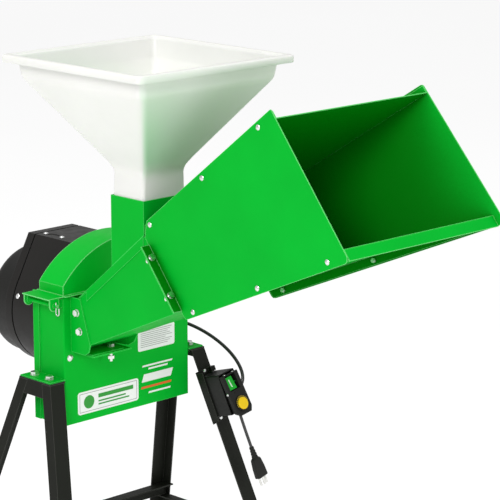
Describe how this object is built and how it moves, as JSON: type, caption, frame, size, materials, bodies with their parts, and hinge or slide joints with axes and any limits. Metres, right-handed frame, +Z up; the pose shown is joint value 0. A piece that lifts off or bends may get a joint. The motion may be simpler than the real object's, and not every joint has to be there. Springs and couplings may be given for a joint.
{
  "type": "hammer mill",
  "caption": "Feed mill with swinging hammers behind cutting knives, a flared feed chute, a lift-off grain funnel, a hinged hood, a rear motor and a splayed steel stand.",
  "frame": {"origin": "centre of the bounding box at floor level, leaving out the cords and the plug", "axes": "+Z up, -Y towards the feed chute mouth, +Y towards the motor, +X towards the latch knob side; the rotor axis runs along Y"},
  "size_m": [0.6614, 1.172, 1.224],
  "materials": {
    "green_paint": "powder coated, semi gloss",
    "black_paint": "powder coated, fine texture",
    "funnel_plastic": "translucent white polyethylene",
    "black_plastic": "fine moulded texture",
    "zinc_steel": "zinc plated",
    "rotor_steel": "ground steel",
    "motor_iron": "black enamel",
    "lamination": "stacked sheet",
    "copper": "enamelled winding wire",
    "label_white": "printed label, text left out",
    "green_plastic": "gloss",
    "yellow_plastic": "gloss",
    "cord_rubber": "soft black sheath",
    "pin_metal": "nickel plated"
  },
  "bodies": {
    "mill": {"button_collar": "black_plastic", "chute_floor": "green_paint", "chute_left_side": "green_paint", "chute_right_side": "green_paint", "chute_roof": "green_paint", "chute_screws": "zinc_steel", "duct_bolts": "zinc_steel", "fan_cover": "black_plastic", "frame_bolts": "zinc_steel", "hinge_lugs": "green_paint", "hinge_pin": "zinc_steel", "hopper_sleeve": "green_paint", "housing_back_plate": "green_paint", "housing_feet": "green_paint", "housing_shell": "green_paint", "label_plates": "label_white", "latch_keeper": "green_paint", "lead_glands": "black_plastic", "motor_bearings": "rotor_steel", "motor_bolts": "zinc_steel", "motor_capacitor": "black_plastic", "motor_front_casing": "motor_iron", "motor_lead": "cord_rubber", "motor_rear_casing": "motor_iron", "motor_stator": "lamination", "motor_windings": "copper", "plug_body": "black_plastic", "plug_pins": "pin_metal", "power_cord": "cord_rubber", "sieve_screen": "rotor_steel", "stand_braces": "black_paint", "stand_foot_plates": "black_paint", "stand_legs": "black_paint", "stand_rails": "black_paint", "switch_bracket": "black_paint", "switch_case": "black_plastic", "switch_front": "black_plastic", "switch_screws": "zinc_steel", "throat_brackets": "green_paint", "throat_floor": "green_paint", "throat_roof": "green_paint", "throat_walls": "green_paint"},
    "hood": {"hood": "green_paint"},
    "latch_knob": {"latch_knob": "black_plastic"},
    "rotor": {"knife_disc": "rotor_steel", "rotor_hub": "rotor_steel", "rotor_fasteners": "zinc_steel", "motor_shaft": "rotor_steel", "cutting_knives": "rotor_steel", "hammer_pins": "rotor_steel", "hammer_spacers": "rotor_steel", "motor_rotor_core": "lamination", "cooling_fan": "black_plastic"},
    "hammers_1": {"hammers_1": "rotor_steel"},
    "hammers_2": {"hammers_2": "rotor_steel"},
    "hammers_3": {"hammers_3": "rotor_steel"},
    "hammers_4": {"hammers_4": "rotor_steel"},
    "funnel": {"grain_funnel": "funnel_plastic"},
    "rocker": {"switch_rocker": "green_plastic"},
    "button": {"push_button": "yellow_plastic"}
  },
  "joints": [
    {"name": "hood_hinge", "type": "hinge", "parent": "mill", "child": "hood", "pos_m": [-0.211, 0.279, 0.673], "axis": [0, -1, 0], "range_deg": [0, 100]},
    {"name": "latch_turn", "type": "hinge", "parent": "hood", "child": "latch_knob", "pos_m": [0.203, 0.279, 0.7], "axis": [0, 0, 1], "continuous": true},
    {"name": "rotor_spin", "type": "hinge", "parent": "mill", "child": "rotor", "pos_m": [0, 0.279, 0.6], "axis": [0, 1, 0], "continuous": true},
    {"name": "hammer_swing_1", "type": "hinge", "parent": "rotor", "child": "hammers_1", "pos_m": [0.06505, 0.279, 0.66505], "axis": [0, 1, 0], "continuous": true},
    {"name": "hammer_swing_2", "type": "hinge", "parent": "rotor", "child": "hammers_2", "pos_m": [-0.06505, 0.279, 0.66505], "axis": [0, 1, 0], "continuous": true},
    {"name": "hammer_swing_3", "type": "hinge", "parent": "rotor", "child": "hammers_3", "pos_m": [-0.06505, 0.279, 0.53495], "axis": [0, 1, 0], "continuous": true},
    {"name": "hammer_swing_4", "type": "hinge", "parent": "rotor", "child": "hammers_4", "pos_m": [0.06505, 0.279, 0.53495], "axis": [0, 1, 0], "continuous": true},
    {"name": "funnel_lift", "type": "slide", "parent": "mill", "child": "funnel", "axis": [0, 0, 1], "range_m": [0, 0.15]},
    {"name": "rocker_tilt", "type": "hinge", "parent": "mill", "child": "rocker", "pos_m": [0.21811, 0.14274, 0.43179], "axis": [0.9855, 0.0488, 0.1627], "range_deg": [0, 14]},
    {"name": "button_press", "type": "slide", "parent": "mill", "child": "button", "axis": [0.0201, 0.9176, -0.3971], "range_m": [0, 0.0028], "stiffness_N_per_m": 300}
  ]
}
